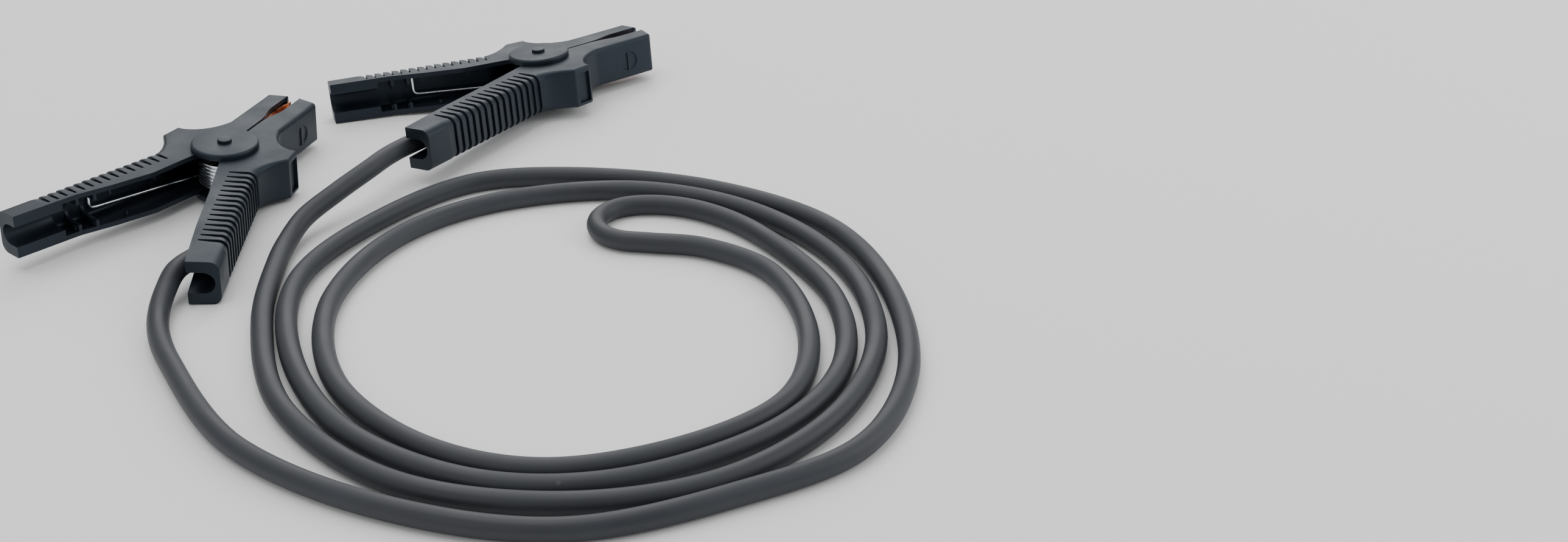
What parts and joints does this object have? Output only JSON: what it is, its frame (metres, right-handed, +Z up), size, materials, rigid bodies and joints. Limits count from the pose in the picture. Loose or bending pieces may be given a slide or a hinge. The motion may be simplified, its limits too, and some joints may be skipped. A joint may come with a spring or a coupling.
{
  "type": "car jumper cable",
  "caption": "Jumper lead for a vehicle battery: one insulated cable, doubled and coiled loosely on the floor, with a sprung plastic clamp with copper jaws on each end.",
  "frame": {"origin": "on the floor, under the middle of the box around the two clamps", "axes": "+Z up from the floor that the lead lies on, +Y away from the camera, +X to its right"},
  "size_m": [0.4327, 0.4913, 0.0321],
  "materials": {
    "black_plastic": "moulded black plastic with a faint satin sheen",
    "cable_sheath": "smooth dark sheath, satin, with faint scuffs",
    "zinc_wire": "bright zinc-plated spring wire",
    "copper_sheet": "bare copper sheet, slightly tarnished"
  },
  "bodies": {
    "lead_and_fixed_halves": {"lead_cable": "cable_sheath", "clamp_a_lead_half": "black_plastic", "clamp_a_pivot_pin": "black_plastic", "clamp_a_torsion_spring": "zinc_wire", "clamp_a_lead_jaw_plate": "copper_sheet", "clamp_b_lead_half": "black_plastic", "clamp_b_pivot_pin": "black_plastic", "clamp_b_torsion_spring": "zinc_wire", "clamp_b_lead_jaw_plate": "copper_sheet"},
    "clamp_a_free_side": {"clamp_a_free_half": "black_plastic", "clamp_a_free_jaw_plate": "copper_sheet"},
    "clamp_b_free_side": {"clamp_b_free_half": "black_plastic", "clamp_b_free_jaw_plate": "copper_sheet"}
  },
  "joints": [
    {"name": "clamp_a_hinge", "type": "hinge", "parent": "lead_and_fixed_halves", "child": "clamp_a_free_side", "pos_m": [-0.06097, -0.02558, 0.01556], "axis": [0.0713, -0.0226, 0.9972], "range_deg": [0, 30], "stiffness_Nm_per_rad": 2, "springref_deg": -34.38, "deforming": ["clamp_a_torsion_spring"]},
    {"name": "clamp_b_hinge", "type": "hinge", "parent": "lead_and_fixed_halves", "child": "clamp_b_free_side", "pos_m": [0.0888, 0.09472, 0.01561], "axis": [-0.0492, 0.0608, 0.9969], "range_deg": [0, 30], "stiffness_Nm_per_rad": 2, "springref_deg": -34.38, "deforming": ["clamp_b_torsion_spring"]}
  ]
}
